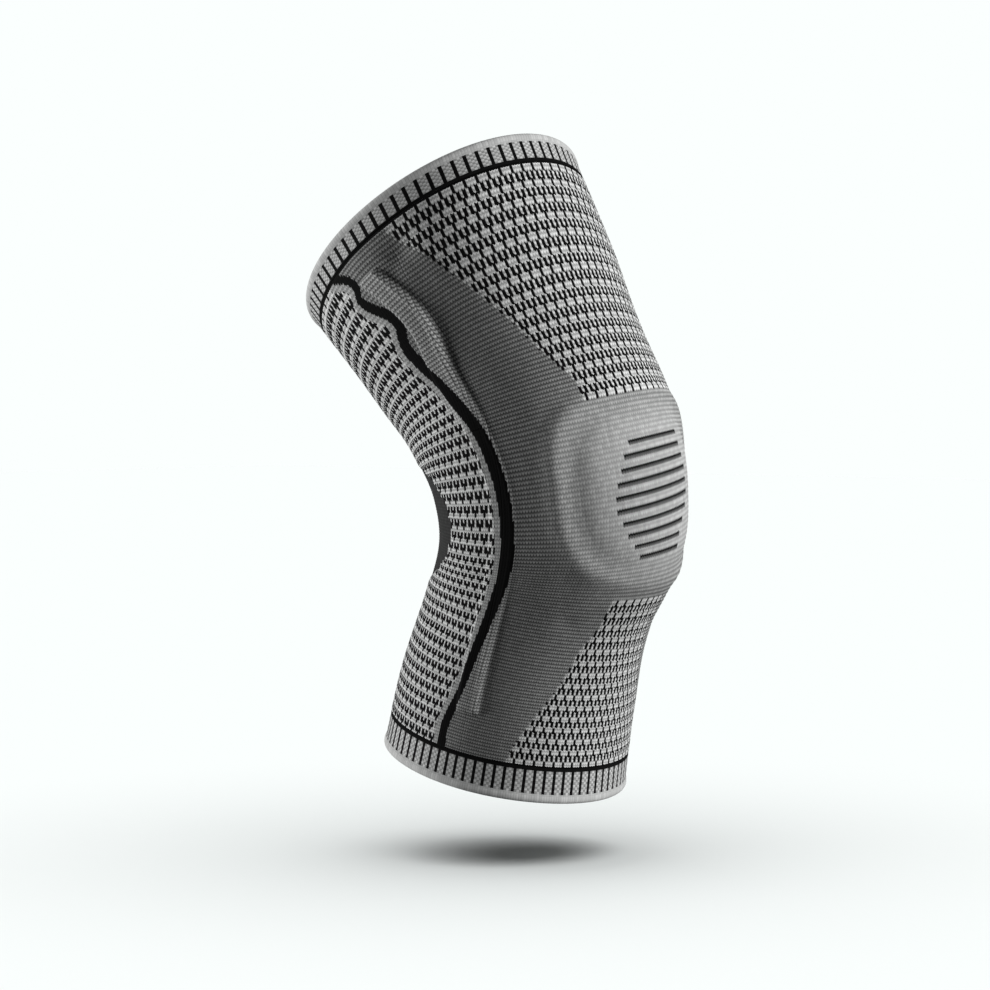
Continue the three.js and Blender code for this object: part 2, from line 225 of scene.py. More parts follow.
# How much of that tilt a row has: at, share
TILT_WEIGHT = (
    (0.05, 0.0),
    (0.20, 0.25),
    (0.41, 0.6),
    (0.50, 1.0),
    (0.60, 1.0),
    (0.66, 0.25),
    (0.80, 0.05),
    (0.95, 0.0),
)

# One repeat of each motif, black stitches marked, four wales by seven courses
FRONT_MOTIF = (
    "#.#.",
    "#.#.",
    "#.#.",
    "###.",
    ".#..",
    ".#..",
    ".#..",
)
BACK_MOTIF = (
    "#.#.",
    "#.#.",
    "###.",
    "###.",
    ".#..",
    ".#..",
    "....",
)
MOTIF_START = 4  # courses of loose stems above the first full row of motifs
STEM_ROW = 4  # first row of the stem
STEM_TICKS = 3  # courses of loose stems below the last row on the shin

# Edges of the patterned fronts: at, angle
THIGH_PANEL = (
    (0.050, 75.0),
    (0.086, 71.2),
    (0.133, 64.4),
    (0.185, 58.6),
    (0.244, 51.5),
    (0.303, 44.3),
    (0.337, 40.2),
    (0.364, 35.1),
    (0.381, 32.1),
    (0.405, 31.0),
)
SHIN_PANEL = (
    (0.660, 20.2),
    (0.688, 19.5),
    (0.716, 21.5),
    (0.736, 25.3),
    (0.771, 28.3),
    (0.823, 34.5),
    (0.865, 41.6),
    (0.916, 49.1),
    (0.940, 51.5),
)

# The black band up each side: at, angle of its middle, width in mm
BAND = (
    (0.050, 106.0, 4.6),
    (0.080, 98.1, 4.9),
    (0.100, 96.8, 5.0),
    (0.120, 98.5, 5.1),
    (0.149, 95.7, 5.6),
    (0.183, 90.3, 6.3),
    (0.211, 89.9, 6.7),
    (0.232, 92.7, 6.7),
    (0.274, 92.7, 7.0),
    (0.317, 89.6, 7.0),
    (0.359, 85.9, 7.0),
    (0.411, 80.4, 7.0),
    (0.484, 76.0, 7.0),
    (0.562, 73.3, 6.7),
    (0.650, 72.9, 6.0),
    (0.700, 75.0, 5.6),
    (0.761, 78.0, 5.1),
    (0.839, 81.1, 4.9),
    (0.911, 85.9, 5.1),
    (0.945, 85.2, 5.3),
)
BAND_ANGLE, BAND_WIDTH = 1, 2
BAND_MARGIN = 2.2  # wales of plain knit between the band and the patterned back

# Stripes over the kneecap: wales to the wearer's right and left of the middle
STRIPES = (
    (13, 15),
    (16, 15),
    (18, 16),
    (20, 17),
    (21, 17),
    (21, 17),
    (19, 15),
    (17, 12),
    (14, 10),
    (11, 10),
)
STRIPE_START = 121  # course of the first
STRIPE_STEP = 5

# The pieces that the body is shown by: name, first wale and wales, and name, first course,
# courses and the girth in millimetres that the knit is made to before it is stretched
PIECE_SIDES = (("front", -60, 120), ("right", 60, 84), ("left", 144, 84))
PIECE_HALVES = (("upper", 0, 102, 420), ("lower", 102, 188, 360))
PANEL_FIRST_COURSE, PANEL_COURSES = 90, 130
PANEL_FIRST_WALE, PANEL_WALES = 84, 120
PANEL_LIFT = 0.5

# Width and length in millimetres before they are stretched
THIGH_CUFF_FLAT = (445, 15.3)
CALF_CUFF_FLAT = (345, 17.7)

KNEECAP_FLATNESS = 0.5
PATTERN_FLATNESS = 0.25
PANEL_EDGE_SPAN = 4  # degrees over which the stitches become flatter

LINE_WIDTH = 3.4  # of the black line between a cuff and the knit
PINSTRIPE_STEP = 4  # wales from one pinstripe of a cuff to the next
PINSTRIPE_LEGS = 5  # columns, four to a wale
FOLD_LIFT = 0.4
CUFF_LIFT = 0.35

# Lightness of a stitch, from black yarn at 0 to the light grey one at 1
BLACK = 0.0
GROUND = 0.8  # between the motifs
PLAIN = 0.37  # of the side, where the knit is slack
KNEECAP_WITH_PAINTED_LIGHT = 0.49  # where it is stretched over the kneecap, made lighter by painted light
OVER_STAY_PAINTED_LIGHT = 0.21  # painted light, added where the channel stands up over a stay, by its height
MARGIN = 0.5
STRIPE_SHADE = 0.12  # of the course below a stripe over the kneecap
CUFF_LIGHT = 0.58
CUFF_DARK = 0.3
FOLD_TONE = 0.5
PANEL_TONE = 0.04
INSIDE = 0.7
# How much painted shade the inside's grooves get; its stitches are not raised
INSIDE_PAINTED_GROOVE_SHADE = 0.6
MELANGE = 0.22  # how much darker the darkest stitches are
GROOVE_LIGHT_UNDER_PAINTED_SHADE = 0.08  # light left at the bottom of a groove by the painted shade
# How far the painted shade of a groove spreads up the stitches
PAINTED_GROOVE_SHADE_SPREAD = 1.3
UNEVENNESS = 0.12  # of the stitches' heights
FIBRE_SIZE = 0.35
FIBRE_RISE = 0.08

# Where a piece's faces lie in a baked picture: from the left for the outer layer, for the
# inner one and for each wall's own share, and the heights
BAKE_OUTER = (0.005, 0.76)
BAKE_INNER = (0.775, 0.995)
BAKE_WALL = (0.1, 0.9)
BAKE_TOP = 0.995
BAKE_HEIGHT = 0.95
WALL_FOOT = 0.005
WALL_TOP = 0.028
WALL_ARCH = 0.004

YARN_BLACK = "060606"
YARN_GREY = "D8D9D8"
SILICONE = "D9DCD8"
SPRING_STEEL = "8C9094"
STUDIO_WHITE = "FBFFFE"

# The studio: lights as metres to the picture's right, up and away from the camera, size
# in metres and power in watts
FLOOR_SIZE = 12
FLOOR_DROP = 30  # below the brace, in millimetres
FLOOR_LIGHT = 0.85  # share of the light that the floor gives back
TOP_LIGHT_SPREAD = 95  # degrees
FILL = 0.07  # the studio's own light on the brace and the floor
SOFT_LIGHTS = (
    ("front soft box", 1.32, 0.00, -0.70, 0.5, 36),
    ("high soft box", 1.22, 0.86, -0.13, 0.5, 22),
    ("rear soft box", -1.50, 0.03, 0.03, 0.5, 43),
)


def curve(rows, at, column=1):
    """One column of a table, as a smooth curve of the table's first column."""
    table = np.array(rows, float)
    x, y = table[:, 0], table[:, column]
    gap = np.diff(x)
    slope = np.diff(y) / gap
    inner = (slope[:-1] * gap[1:] + slope[1:] * gap[:-1]) / (gap[1:] + gap[:-1])
    tangent = np.concatenate([slope[:1], inner, slope[-1:]])
    at = np.clip(at, x[0], x[-1])
    i = np.clip(np.searchsorted(x, at, side="right") - 1, 0, len(gap) - 1)
    h = gap[i]
    t = (at - x[i]) / h
    return (
        (2 * t**3 - 3 * t**2 + 1) * y[i]
        + (t**3 - 2 * t**2 + t) * h * tangent[i]
        + (3 * t**2 - 2 * t**3) * y[i + 1]
        + (t**3 - t**2) * h * tangent[i + 1]
    )


def share(mm):
    return mm / SLEEVE_LENGTH


def ease(x):
    x = np.clip(x, 0, 1)
    return x * x * (3 - 2 * x)


def hill(x):
    return np.exp(-x * x)


def from_front(angle):
    """The angle from the front, the same on both sides of the leg."""
    return np.abs((angle + 180) % 360 - 180)


def lean_at(at, span):
    turned = ease((at - share(KNEE_DROP)) / share(span) + 0.5)
    return np.radians(THIGH_LEAN - (THIGH_LEAN + SHIN_LEAN) * turned)


def centre_line():
    """Points down the middle of the leg, with the knee at the origin."""
    step = SLEEVE_LENGTH / CENTRE_STEPS
    lean = lean_at((np.arange(CENTRE_STEPS) + 0.5) / CENTRE_STEPS, BEND_SPAN)
    down = np.stack([0 * lean, -np.sin(lean), -np.cos(lean)], axis=-1)
    points = np.concatenate([np.zeros((1, 3)), np.cumsum(down * step, axis=0)])
    return points - along_line(points, np.array(share(KNEE_DROP)))


def along_line(points, at):
    x = np.clip(at, 0, 1) * (len(points) - 1)
    places = np.arange(len(points))
    return np.stack([np.interp(x, places, points[:, k]) for k in range(3)], axis=-1)


CENTRE = centre_line()
RING_RADIUS = math.radians(RING_HALF_ANGLE) * KNEE_RADIUS


def ring_reach(at, angle):
    """From 0 in the middle of the kneecap to 1 on the ring's middle line."""
    across = from_front(angle) / RING_HALF_ANGLE
    along = np.abs(at - share(RING_DROP)) / share(RING_HALF_HEIGHT)
    return (across**RING_SQUARENESS + along**RING_SQUARENESS) ** (1 / RING_SQUARENESS)


def knee_stretch(at, angle):
    """How far the kneecap stretches the knit: 0 at the sides, 1 over the kneecap."""
    return ease((KNEE_STRETCH_START - ring_reach(at, angle)) / KNEE_STRETCH_SPAN)


def ring_relief(at, angle):
    """The raised ring, the sunk line inside it and the dome of the kneecap."""
    reach = ring_reach(at, angle)
    inside = (1 - reach) * RING_RADIUS
    sideness = ease(from_front(angle) / RING_HALF_ANGLE / np.maximum(reach, 0.1))
    strength = RING_END_RISE + (1 - RING_END_RISE) * sideness
    ridge = RING_RISE * hill(inside / RIDGE_SPREAD)
    moat = MOAT_DEPTH * hill((inside - MOAT_INSET) / MOAT_SPREAD)
    dome = 1 - (reach / (1 - DOME_INSET / RING_RADIUS)) ** 2
    return strength * (ridge - moat) + DOME_RISE * np.maximum(dome, 0)


def across_stay(at, angle):
    """Millimetres round the leg from a stay's middle line, towards the back."""
    off = np.radians(from_front(angle) - curve(STAY_ROUTE, at, STAY_ANGLE))
    return off * curve(SECTIONS, at, SIDE)


def along_stay(at):
    """From 1 along a channel to 0 past its ends."""
    from_top = ease((at - STAY_ROUTE[0][0]) / share(CHANNEL_EDGE) + 0.5)
    from_foot = ease((STAY_ROUTE[-1][0] - at) / share(CHANNEL_EDGE) + 0.5)
    return from_top * from_foot


def channel_relief(at, angle):
    """The raised channel over a stay, with the piping along its front edge."""
    off = across_stay(at, angle)
    half = CHANNEL_WIDTH / 2
    top = ease((half - np.abs(off)) / CHANNEL_EDGE)
    piping = PIPING_RISE * hill((off + half - CHANNEL_EDGE / 2) / PIPING_WIDTH)
    rise = curve(STAY_ROUTE, at, STAY_RISE) * along_stay(at)
    return rise * (CHANNEL_RISE * top + piping)


def dent_relief(at, angle):
    radius = curve(SECTIONS, at, SIDE)
    relief = 0 * at
    for dent_at, dent_angle, width, height, depth in DENTS:
        across = np.radians(from_front(angle) - dent_angle) * radius / width
        along = (at - dent_at) / height
        relief -= depth * hill(np.hypot(across, along))
    return relief


def outer_relief(at, angle):
    return ring_relief(at, angle) + channel_relief(at, angle) + dent_relief(at, angle)


def inner_relief(at, angle):
    """The inside follows the ring and the dents, and runs straight across a channel."""
    return ring_relief(at, angle) + dent_relief(at, angle)


def skin(at, angle, inset=0.0, relief=outer_relief):
    """Places on the knit, in millimetres."""
    raised = relief(at, angle) - inset
    turn = np.radians(angle)
    lean = lean_at(at, FAN_SPAN)
    frontness = 0.5 + 0.5 * np.sin(np.cos(turn) * np.pi / 2)
    front, back = curve(SECTIONS, at, FRONT), curve(SECTIONS, at, BACK)
    ahead = (back + (front - back) * frontness + raised) * np.cos(turn)
    wide = (curve(SECTIONS, at, SIDE) + raised) * np.sin(turn)
    offset = np.stack([-wide, -ahead * np.cos(lean), ahead * np.sin(lean)], axis=-1)
    return along_line(CENTRE, at) + offset


def tilted(at, angle):
    """Rows drop a little towards the wearer's right over the knee."""
    return at + ROW_TILT * curve(TILT_WEIGHT, at) * np.sin(np.radians(angle))


COURSE_MARKS = (
    (0, share(THIGH_CUFF_HEIGHT)),
    (17, 0.1227),
    (34, 0.1890),
    (51, 0.2503),
    (68, 0.3068),
    (85, 0.3584),
    (THIGH_COURSES, KNEE_START),
    (THIGH_COURSES + KNEE_COURSES, KNEE_END),
    (COURSES, 1 - share(CALF_CUFF_HEIGHT)),
)


def body_places(courses, wales):
    """Share of the length and angle of points given in courses and wales, on the body."""
    angle = wales * 360 / WALES
    slant = STITCH_SLANT * (0.5 - np.abs(2 * (wales % 1) - 1))
    calm = np.clip(np.minimum(courses, COURSES - courses) / STITCH_COURSES, 0, 1)
    at = curve(COURSE_MARKS, courses + slant * calm)
    return tilted(at, angle), angle


def outward_of(points):
    """Unit vectors that point out of a grid of places whose rows go down the leg."""
    down = np.gradient(points, axis=0)
    round_leg = np.gradient(points, axis=1)
    out = np.cross(down, round_leg)
    return -out / np.linalg.norm(out, axis=-1, keepdims=True)


def block_centres(course_start, courses, wale_start, wales):
    """Share of the length and angle in the middle of each block of stitches."""
    course = course_start + np.arange(courses // BLOCK) * BLOCK + BLOCK / 2
    wale = wale_start + np.arange(wales // BLOCK) * BLOCK + BLOCK / 2
    course, wale = np.meshgrid(course, wale, indexing="ij")
    return curve(COURSE_MARKS, course), wale * 360 / WALES


def in_panel(at, angle):
    """Whether a place is in the oval behind the knee."""
    across = (180 - from_front(angle)) / PANEL_HALF_ANGLE
    along = (at - share(PANEL_DROP)) / share(PANEL_HALF_HEIGHT)
    return across**2 + along**2 < 1


def band_distance(at, angle):
    """How far a place is from the middle of the band, and the band's width there."""
    place = np.linspace(BAND[0][0], BAND[-1][0], 300)
    radius = curve(SECTIONS, at, SIDE)[..., None]
    across = np.radians(angle[..., None] - curve(BAND, place, BAND_ANGLE)) * radius
    along = (at[..., None] - place) * SLEEVE_LENGTH
    away = np.hypot(across, along)
    return away.min(axis=-1), curve(BAND, place, BAND_WIDTH)[away.argmin(axis=-1)]


def motif_marks(rows):
    """A motif's black columns, the broad stitches above its stem a column wider."""
    marks = np.array([[mark == "#" for mark in row] for row in rows])
    marks = np.repeat(marks, STITCH_COLUMNS, axis=1)
    marks[:STEM_ROW] |= np.roll(marks[:STEM_ROW], 1, axis=1)
    return marks


def knit_chart():
    """Lightness of the knit: a row for each course, four columns for each wale."""
    column = (np.arange(WALES * STITCH_COLUMNS) + 0.5) / STITCH_COLUMNS
    course, leg = np.meshgrid(np.arange(COURSES), column, indexing="ij")
    wale = leg.astype(int)
    angle = from_front((wale + 0.5) * 360 / WALES)
    at = tilted(curve(COURSE_MARKS, course + 0.5), angle)
    black, slender = motif_marks(FRONT_MOTIF), motif_marks(BACK_MOTIF)
    repeat, wide = black.shape
    place = (leg * STITCH_COLUMNS).astype(int)

    # The motif, a half repeat to the side in every other row of motifs
    down = course - MOTIF_START
    motif_place = (down % repeat, (place + down // repeat % 2 * wide // 2) % wide)
    upright, hooked = black[motif_place], slender[motif_place]
    down = course - (THIGH_COURSES + KNEE_COURSES)
    loose = course >= COURSES - 1 - STEM_TICKS
    row = np.where(loose, STEM_ROW, repeat - 1 - down % repeat)
    inverted = black[row, (place + down // repeat % 2 * wide // 2) % wide]

    wale_width = np.radians(360 / WALES) * curve(SECTIONS, at, SIDE)
    behind = angle > curve(BAND, at, BAND_ANGLE)
    on_thigh = (course < THIGH_COURSES) & (angle < curve(THIGH_PANEL, at))
    on_shin = (course >= THIGH_COURSES + KNEE_COURSES) & (angle < curve(SHIN_PANEL, at))
    half_wale = (np.floor(leg * 2) + 0.5) / 2
    away, width = band_distance(at, from_front(half_wale * 360 / WALES))
    edge = away < width / 2 + BAND_MARGIN * wale_width

    # Painted light over the kneecap: the knit is drawn lighter where it is stretched over it
    stretched = knee_stretch(at, angle)
    chart = PLAIN + (KNEECAP_WITH_PAINTED_LIGHT - PLAIN) * stretched
    # Painted light over the channels, in proportion to how high each stands
    chart = chart + OVER_STAY_PAINTED_LIGHT * channel_relief(at, angle) / CHANNEL_RISE
    chart = np.where(on_thigh, np.where(upright, BLACK, GROUND), chart)
    chart = np.where(on_shin, np.where(inverted, BLACK, GROUND), chart)
    chart = np.where(behind & ~edge, np.where(hooked, BLACK, GROUND), chart)
    chart = np.where(behind & edge, MARGIN, chart)
    chart = np.where(away < width / 2, BLACK, chart)
    for k, (to_right, to_left) in enumerate(STRIPES):
        start = STRIPE_START + k * STRIPE_STEP
        for row, tone in ((chart[start], BLACK), (chart[start + 1], STRIPE_SHADE)):
            row[: to_right * STITCH_COLUMNS] = tone
            row[-to_left * STITCH_COLUMNS :] = tone
    chart[0] = BLACK
    chart[-1] = BLACK
    return chart


def block_runs(rows, columns):
    """Corners of a block's walls, as (layer, row, column), outer layer 0 and inner 1."""
    down, right = range(rows + 1), range(columns + 1)
    top = [(1, 0, 0), (1, 0, 1)] + [(0, 0, k) for k in reversed(right)]
    foot = [(1, 1, 1), (1, 1, 0)] + [(0, rows, k) for k in right]
    left = [(1, 1, 0), (1, 0, 0)] + [(0, k, 0) for k in down]
    far = [(1, 0, 1), (1, 1, 1)] + [(0, k, columns) for k in reversed(down)]
    return top, foot, left, far


def missing_beside(mask, closed):
    """Blocks with nothing above, below, to the left and to the right of them."""
    padded = np.pad(mask, 1)
    if closed:
        padded[1:-1, 0] = mask[:, -1]
        padded[1:-1, -1] = mask[:, 0]
    above, below = padded[:-2, 1:-1], padded[2:, 1:-1]
    left, right = padded[1:-1, :-2], padded[1:-1, 2:]
    return [mask & ~beside for beside in (above, below, left, right)]


def shell_corners(mask, rows, columns, closed):
    """Polygons of a shell over a grid of blocks, each an array of (layer, row, column)."""
    quad = np.array([(0, 0, 0), (0, 0, 1), (0, 1, 1), (0, 1, 0)])
    fine = np.kron(mask, np.ones((rows, columns), bool))
    i, j = np.nonzero(fine)
    outer = quad[None] + np.stack([0 * i, i, j], axis=-1)[:, None]
    i, j = np.nonzero(mask)
    inner = quad[None, ::-1] + np.stack([0 * i + 1, i, j], axis=-1)[:, None]
    walls = []
    for run, bare in zip(block_runs(rows, columns), missing_beside(mask, closed)):
        i, j = np.nonzero(bare)
        run = np.array(run)
        scale = np.where(run[:, :1] == 0, (1, rows, columns), (1, 1, 1))
        start = np.stack([0 * i, i, j], axis=-1)[:, None] * scale[None]
        walls.append(run[None] + start)
    return outer, inner, walls


def bake_places(outer, inner, walls, rows, columns, shape):
    """Places for a baked picture: the outer layer, the inner one beside it, walls below."""
    tall, wide = shape
    places = []
    for group, rows_each, columns_each, (left, right) in (
        (outer, rows, columns, BAKE_OUTER),
        (inner, 1, 1, BAKE_INNER),
    ):
        u = left + (right - left) * group[..., 2] / (wide * columns_each)
        v = BAKE_TOP - BAKE_HEIGHT * group[..., 1] / (tall * rows_each)
        places.append(np.stack([u, v], axis=-1).reshape(-1, 2))
    count = sum(len(wall) for wall in walls)
    start = 0
    for wall in walls:
        far_corners = wall.shape[1] - 2
        along = np.concatenate([BAKE_WALL, np.linspace(*BAKE_WALL[::-1], far_corners)])
        arch = WALL_TOP + WALL_ARCH * np.sin(np.linspace(0, np.pi, far_corners))
        height = np.concatenate([[WALL_FOOT, WALL_FOOT], arch])
        u = (start + np.arange(len(wall))[:, None] + along[None]) / max(count, 1)
        v = np.broadcast_to(height, u.shape)
        places.append(np.stack([u, v], axis=-1).reshape(-1, 2))
        start += len(wall)
    return np.concatenate(places)


def new_mesh(name, points, corner_sets, smooth):
    """A mesh from point places in millimetres and sets of polygons with as many corners."""
    mesh = bpy.data.meshes.new(name)
    sizes = np.concatenate([np.full(len(c), c.shape[1]) for c in corner_sets])
    loops = np.concatenate([c.reshape(-1) for c in corner_sets])
    starts = np.concatenate([[0], np.cumsum(sizes)[:-1]])
    mesh.vertices.add(len(points))
    mesh.vertices.foreach_set("co", (points * MM).astype(np.float32).reshape(-1))
    mesh.loops.add(len(loops))
    mesh.loops.foreach_set("vertex_index", loops.astype(np.int32))
    mesh.polygons.add(len(sizes))
    mesh.polygons.foreach_set("loop_start", starts.astype(np.int32))
    mesh.update(calc_edges=True)
    mesh.polygons.foreach_set("use_smooth", smooth)
    mesh.validate()
    return mesh


def store(mesh, name, kind, domain, values):
    field = "vector" if kind == "FLOAT_VECTOR" else "value"
    values = np.asarray(values, np.float32).reshape(-1)
    mesh.attributes.new(name, kind, domain).data.foreach_set(field, values)


def store_places(mesh, name, places):
    layer = mesh.uv_layers.new(name=name)
    layer.data.foreach_set("uv", np.asarray(places, np.float32).reshape(-1))
    return layer


def knit_piece(name, outer, inner, courses, wales, tone, rise, mask=None, closed=False):
    """A closed shell of knit. outer has a row of places for each of courses and a column
    for each of wales, and inner one for each edge of a block. tone is a face's lightness
    and rise how high its stitches stand, from 0 to 1, which also sets how deep the
    painted shade in their grooves is. closed joins the last column to the first."""
    tall, wide = inner.shape[0] - 1, inner.shape[1] - 1
    rows, columns = (outer.shape[0] - 1) // tall, (outer.shape[1] - 1) // wide
    if mask is None:
        mask = np.ones((tall, wide), bool)
    outer_faces, inner_faces, walls = shell_corners(mask, rows, columns, closed)
    groups = [outer_faces, inner_faces, *walls]
    corners = np.concatenate([group.reshape(-1, 3) for group in groups])
    layer, row, column = corners.T

    # Each corner's vertex, the unused ones left out
    fine_wide, coarse_wide = outer.shape[1], inner.shape[1]
    fine = row * fine_wide + np.where(closed, column % (fine_wide - 1), column)
    coarse = row * coarse_wide + np.where(closed, column % (coarse_wide - 1), column)
    index = np.where(layer == 0, fine, outer.shape[0] * fine_wide + coarse)
    used, index = np.unique(index, return_inverse=True)
    splits = np.cumsum([group.shape[0] * group.shape[1] for group in groups])[:-1]
    vertices = [
        part.reshape(group.shape[:2]) for part, group in zip(np.split(index, splits), groups)
    ]

    skins = len(outer_faces) + len(inner_faces)
    smooth = np.arange(sum(map(len, groups))) < skins
    points = np.concatenate([outer.reshape(-1, 3), inner.reshape(-1, 3)])[used]
    mesh = new_mesh(name, points, vertices, smooth)

    # What the stitches are worked out from, for each point
    grid = np.meshgrid(courses, wales, indexing="ij")
    course, wale = (
        np.concatenate([part.reshape(-1), part[::rows, ::columns].reshape(-1)]) for part in grid
    )
    outward = np.concatenate([outward_of(outer).reshape(-1, 3), 0 * inner.reshape(-1, 3)])
    lift = np.broadcast_to(rise, outer.shape[:2])
    # The inner layer is not moved out, its outward being zero, so its rise only sets the painted
    # shade in its grooves
    inside = np.full(inner.shape[0] * inner.shape[1], INSIDE_PAINTED_GROOVE_SHADE)
    lift = np.concatenate([lift.reshape(-1), inside])
    store(mesh, "wale", "FLOAT", "POINT", wale[used])
    store(mesh, "course", "FLOAT", "POINT", course[used])
    store(mesh, "outward", "FLOAT_VECTOR", "POINT", outward[used])
    store(mesh, "rise", "FLOAT", "POINT", lift[used])
    lightness = np.full(len(smooth), INSIDE)
    lightness[: len(outer_faces)] = tone[outer_faces[:, 0, 1], outer_faces[:, 0, 2]]
    store(mesh, "tone", "FLOAT", "FACE", lightness)

    knit_row = np.where(layer == 0, row, row * rows)
    knit_column = np.where(layer == 0, column, column * columns)
    knit = np.stack([wales[knit_column], courses[knit_row]], axis=-1)
    store_places(mesh, "knit", knit).active_render = True
    baked = bake_places(outer_faces, inner_faces, walls, rows, columns, (tall, wide))
    store_places(mesh, "OFBake", baked)
    return mesh


def linear(code):
    """A colour for a shader from its sRGB code."""
    parts = [int(code[k:k + 2], 16) / 255 for k in (0, 2, 4)]
    bent = [p / 12.92 if p <= 0.04045 else ((p + 0.055) / 1.055) ** 2.4 for p in parts]
    return (*bent, 1)


def add_node(tree, kind, inputs=None, **settings):
    """A new node. Each input is a constant, or the output that is linked to it."""
    node = tree.nodes.new(kind)
    for name, value in settings.items():
        setattr(node, name, value)
    for key, value in (inputs or {}).items():
        if isinstance(value, bpy.types.NodeSocket):
            tree.links.new(value, node.inputs[key])
        else:
            node.inputs[key].default_value = value
    return node


def maths(tree, operation, *values):
    """The output of a math node."""
    node = add_node(tree, "ShaderNodeMath", dict(enumerate(values)), operation=operation)
    return node.outputs[0]


def stitch_height(tree, wale, course):
    """Height of a stitch over a wale and two courses, up to 1."""
    turn = maths(tree, "MULTIPLY", wale, math.pi)
    middle = maths(tree, "POWER", maths(tree, "SINE", turn), 2)
    legs = maths(tree, "ABSOLUTE", maths(tree, "SINE", maths(tree, "MULTIPLY", turn, 2)))
    legs = maths(tree, "MULTIPLY_ADD", legs, STITCH_LEGS, SIDE_GROOVE)
    across = maths(tree, "MULTIPLY_ADD", middle, STITCH_MIDDLE, legs)
    turn = maths(tree, "MULTIPLY", course, math.pi / STITCH_COURSES)
    along = maths(tree, "POWER", maths(tree, "SINE", turn), 2)
    along = maths(tree, "MULTIPLY_ADD", along, 1 - ROW_GROOVE, ROW_GROOVE)
    return maths(tree, "MULTIPLY", across, along)


def named_field(tree, name, kind="FLOAT"):
    node = add_node(tree, "GeometryNodeInputNamedAttribute", {"Name": name}, data_type=kind)
    return node.outputs["Attribute"]


def stitch_nodes():
    """Geometry nodes that raise the stitches out of a piece of knit."""
    tree = bpy.data.node_groups.new("raised stitches", "GeometryNodeTree")
    face = tree.interface
    face.new_socket("Geometry", in_out="OUTPUT", socket_type="NodeSocketGeometry")
    face.new_socket("Geometry", in_out="INPUT", socket_type="NodeSocketGeometry")
    face.new_socket("Stitch height", in_out="INPUT", socket_type="NodeSocketFloat")
    face.new_socket("Unevenness", in_out="INPUT", socket_type="NodeSocketFloat")
    face.new_socket("Seed", in_out="INPUT", socket_type="NodeSocketInt")
    face.new_socket("Yarn", in_out="INPUT", socket_type="NodeSocketMaterial")
    given = add_node(tree, "NodeGroupInput")
    wale, course = named_field(tree, "wale"), named_field(tree, "course")
    column = maths(tree, "FLOOR", wale)
    row = maths(tree, "FLOOR", maths(tree, "DIVIDE", course, STITCH_COURSES))
    stitch = maths(tree, "MULTIPLY_ADD", row, WALES, column)
    uneven = add_node(
        tree,
        "FunctionNodeRandomValue",
        {"Min": -1.0, "Max": 1.0, "ID": stitch, "Seed": given.outputs["Seed"]},
    )
    size = maths(tree, "MULTIPLY_ADD", uneven.outputs["Value"], given.outputs["Unevenness"], 1)
    height = stitch_height(tree, wale, course)
    height = maths(tree, "MULTIPLY", height, named_field(tree, "rise"))
    height = maths(tree, "MULTIPLY", height, given.outputs["Stitch height"])
    height = maths(tree, "MULTIPLY", height, size)
    offset = add_node(
        tree,
        "ShaderNodeVectorMath",
        {0: named_field(tree, "outward", "FLOAT_VECTOR"), "Scale": height},
        operation="SCALE",
    )
    moved = add_node(
        tree,
        "GeometryNodeSetPosition",
        {"Geometry": given.outputs["Geometry"], "Offset": offset.outputs[0]},
    )
    real = add_node(tree, "GeometryNodeRealizeInstances", {0: moved.outputs[0]})
    finished = add_node(
        tree,
        "GeometryNodeSetMaterial",
        {"Geometry": real.outputs[0], "Material": given.outputs["Yarn"]},
    )
    add_node(tree, "NodeGroupOutput", {"Geometry": finished.outputs[0]})
    return tree


def raise_stitches(mesh, tree, settings):
    """An object of the mesh with its stitches raised, the modifier applied."""
    obj = bpy.data.objects.new(mesh.name, mesh)
    bpy.context.scene.collection.objects.link(obj)
    modifier = obj.modifiers.new("stitches", "NODES")
    modifier.node_group = tree
    for item in tree.interface.items_tree:
        if item.in_out == "INPUT" and item.name in settings:
            modifier[item.identifier] = settings[item.name]
    graph = bpy.context.evaluated_depsgraph_get()
    seen = obj.evaluated_get(graph)
    raised = bpy.data.meshes.new_from_object(seen, preserve_all_data_layers=True, depsgraph=graph)
    obj.modifiers.remove(modifier)
    obj.data = raised
    bpy.data.meshes.remove(mesh)
    raised.name = obj.name
    for name in ("wale", "course", "outward"):
        raised.attributes.remove(raised.attributes[name])
    return obj


def new_material(name):
    material = bpy.data.materials.new(name)
    material.use_nodes = True
    material.node_tree.nodes.clear()
    return material, material.node_tree


def finish_material(tree, shader):
    add_node(tree, "ShaderNodeOutputMaterial", {"Surface": shader.outputs[0]})


